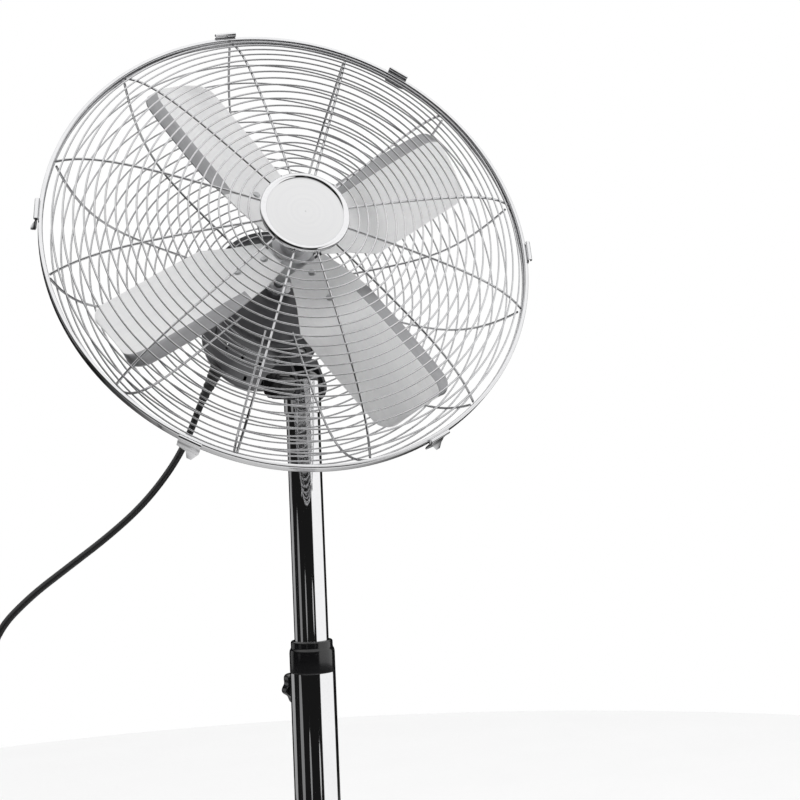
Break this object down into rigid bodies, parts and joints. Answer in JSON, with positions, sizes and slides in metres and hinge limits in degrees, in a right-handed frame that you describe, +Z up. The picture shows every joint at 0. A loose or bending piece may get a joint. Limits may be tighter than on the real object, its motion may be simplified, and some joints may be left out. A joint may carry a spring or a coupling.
{
  "type": "pedestal fan",
  "caption": "Chrome pedestal fan: metal-bladed rotor in a round wire guard, motor on a tilting and swivelling neck, height-adjustable pole and round weighted foot.",
  "frame": {"origin": "centre of the round foot's underside, on the floor, on the pole's axis", "axes": "+Z up the pole; the head blows towards -Y and, at rest, about 19 degrees upwards"},
  "size_m": [0.5256, 0.398, 1.2655],
  "materials": {
    "foot_rubber": "matt black rubber",
    "weight_iron": "rough cast iron",
    "pole_chrome": "polished chrome plate",
    "plain_steel": "zinc-plated steel",
    "gloss_black": "glossy black moulded plastic",
    "bush_nylon": "natural nylon",
    "motor_paint": "satin dark grey paint",
    "neck_paint": "satin charcoal paint on a casting",
    "cast_alloy": "cast aluminium",
    "core_steel": "stacked laminations",
    "winding_copper": "enamelled copper wire",
    "bearing_bronze": "sintered bronze",
    "blade_metal": "brushed aluminium sheet",
    "rivet_steel": "plain domed rivets",
    "guard_chrome": "polished chrome plate on wire and strip",
    "badge_silver": "plain satin disc with no mark",
    "cord_black": "smooth black PVC sheath",
    "plug_black": "satin black moulding",
    "electrical": "moulded electrical plastic"
  },
  "bodies": {
    "base": {"foot_pad": "foot_rubber", "foot_weight": "weight_iron", "foot_cover": "pole_chrome", "pole_socket": "plain_steel", "socket_screws": "plain_steel", "pole_trim": "pole_chrome", "lower_tube": "pole_chrome", "tube_collar": "gloss_black", "collar_bush": "bush_nylon", "cord_lower": "cord_black", "cord_coil": "cord_black", "plug": "plug_black"},
    "height_knob": {"height_knob": "gloss_black"},
    "mast": {"upper_tube": "pole_chrome", "mast_foot": "bush_nylon", "mast_cap": "gloss_black", "cord_middle": "cord_black"},
    "yoke": {"neck_yoke": "neck_paint", "spindle": "plain_steel", "tilt_bolt": "plain_steel"},
    "tilt_knob": {"tilt_knob": "gloss_black"},
    "head": {"motor_frame": "cast_alloy", "stator_core": "core_steel", "stator_windings": "winding_copper", "front_shell": "motor_paint", "rear_shell": "motor_paint", "shaft_bearings": "bearing_bronze", "gearbox_case": "cast_alloy", "speed_switch": "electrical", "run_capacitor": "electrical", "cord_gland": "plug_black", "rear_rings": "guard_chrome", "rear_frame": "guard_chrome", "guard_nut": "guard_chrome", "front_rings": "guard_chrome", "front_ribs": "guard_chrome", "badge": "badge_silver", "badge_ring": "guard_chrome", "rim_band": "guard_chrome", "cord_upper": "cord_black"},
    "rotor": {"rotor_core": "core_steel", "motor_shaft": "plain_steel", "hub_spider": "cast_alloy", "blade_1": "blade_metal", "blade_2": "blade_metal", "blade_3": "blade_metal", "blade_4": "blade_metal", "blade_rivets": "rivet_steel", "blade_nut": "cast_alloy"},
    "drive_gear": {"drive_gear": "bush_nylon"},
    "crank": {"crank": "bush_nylon"},
    "swing_link": {"swing_link": "plain_steel"},
    "swing_knob": {"swing_knob": "gloss_black"},
    "speed_knob": {"speed_knob": "gloss_black"},
    "latch_1": {"latch_1": "guard_chrome"},
    "latch_2": {"latch_2": "guard_chrome"},
    "latch_3": {"latch_3": "guard_chrome"},
    "latch_4": {"latch_4": "guard_chrome"},
    "latch_5": {"latch_5": "guard_chrome"},
    "latch_6": {"latch_6": "guard_chrome"}
  },
  "joints": [
    {"name": "height_slide", "type": "slide", "parent": "base", "child": "mast", "axis": [0, 0, 1], "range_m": [-0.215, 0.06], "deforming": ["cord_lower", "cord_middle", "cord_upper"]},
    {"name": "height_lock_turn", "type": "hinge", "parent": "base", "child": "height_knob", "pos_m": [0, 0, 0.628], "axis": [-0.1908, 0.9816, 0], "range_deg": [0, 360]},
    {"name": "tilt", "type": "hinge", "parent": "mast", "child": "yoke", "pos_m": [0, 0, 0.922], "axis": [0.7976, 0.6032, 0], "range_deg": [-7, 33]},
    {"name": "tilt_lock_turn", "type": "hinge", "parent": "yoke", "child": "tilt_knob", "pos_m": [0, 0, 0.922], "axis": [0.7976, 0.6032, 0], "range_deg": [0, 360]},
    {"name": "swivel", "type": "hinge", "parent": "yoke", "child": "head", "pos_m": [0, 0, 0.922], "axis": [-0.2386, 0.3155, 0.9184], "range_deg": [-4, 75]},
    {"name": "fan_spin", "type": "hinge", "parent": "head", "child": "rotor", "pos_m": [-0.02232, -0.09349, 1.05001], "axis": [-0.0003, -0.9458, 0.3248], "continuous": true},
    {"name": "drive_gear_spin", "type": "hinge", "parent": "head", "child": "drive_gear", "pos_m": [-0.00994, 0.08152, 0.99311], "axis": [-0.2386, 0.3155, 0.9184], "continuous": true},
    {"name": "crank_spin", "type": "hinge", "parent": "head", "child": "crank", "pos_m": [-0.00867, 0.09202, 0.98983], "axis": [-0.2386, 0.3155, 0.9184], "continuous": true},
    {"name": "link_turn", "type": "hinge", "parent": "yoke", "child": "swing_link", "pos_m": [0.00794, 0.01934, 0.94671], "axis": [-0.2386, 0.3155, 0.9184], "range_deg": [-4, 75]},
    {"name": "swing_knob_pull", "type": "slide", "parent": "head", "child": "swing_knob", "axis": [-0.2386, 0.3155, 0.9184], "range_m": [0, 0.006]},
    {"name": "speed_knob_turn", "type": "hinge", "parent": "head", "child": "speed_knob", "pos_m": [-0.02226, 0.12404, 0.9753], "axis": [-0.0003, -0.9458, 0.3248], "range_deg": [0, 180]},
    {"name": "latch_1_open", "type": "hinge", "parent": "head", "child": "latch_1", "pos_m": [0.20373, -0.10379, 1.0402], "axis": [-0.0558, -0.3243, -0.9443], "range_deg": [0, 100]},
    {"name": "latch_2_open", "type": "hinge", "parent": "head", "child": "latch_2", "pos_m": [0.10164, -0.03813, 1.23131], "axis": [0.8368, -0.178, -0.5178], "range_deg": [0, 100]},
    {"name": "latch_3_open", "type": "hinge", "parent": "head", "child": "latch_3", "pos_m": [-0.06863, -0.02764, 1.26171], "axis": [0.9789, 0.0662, 0.1936], "range_deg": [0, 100]},
    {"name": "latch_4_open", "type": "hinge", "parent": "head", "child": "latch_4", "pos_m": [-0.24779, -0.09292, 1.07149], "axis": [0.0906, 0.3234, 0.9419], "range_deg": [0, 100]},
    {"name": "latch_5_open", "type": "hinge", "parent": "head", "child": "latch_5", "pos_m": [-0.13276, -0.1638, 0.86519], "axis": [-0.873, 0.1587, 0.4613], "range_deg": [0, 100]},
    {"name": "latch_6_open", "type": "hinge", "parent": "head", "child": "latch_6", "pos_m": [0.08328, -0.1647, 0.86272], "axis": [-0.8846, -0.1513, -0.4412], "range_deg": [0, 100]}
  ],
  "couplings": [
    {"joint": "drive_gear_spin", "follows": "fan_spin", "ratio": 0.045455},
    {"joint": "crank_spin", "follows": "fan_spin", "ratio": -0.013636},
    {"joint": "link_turn", "follows": "swivel", "ratio": 1}
  ]
}
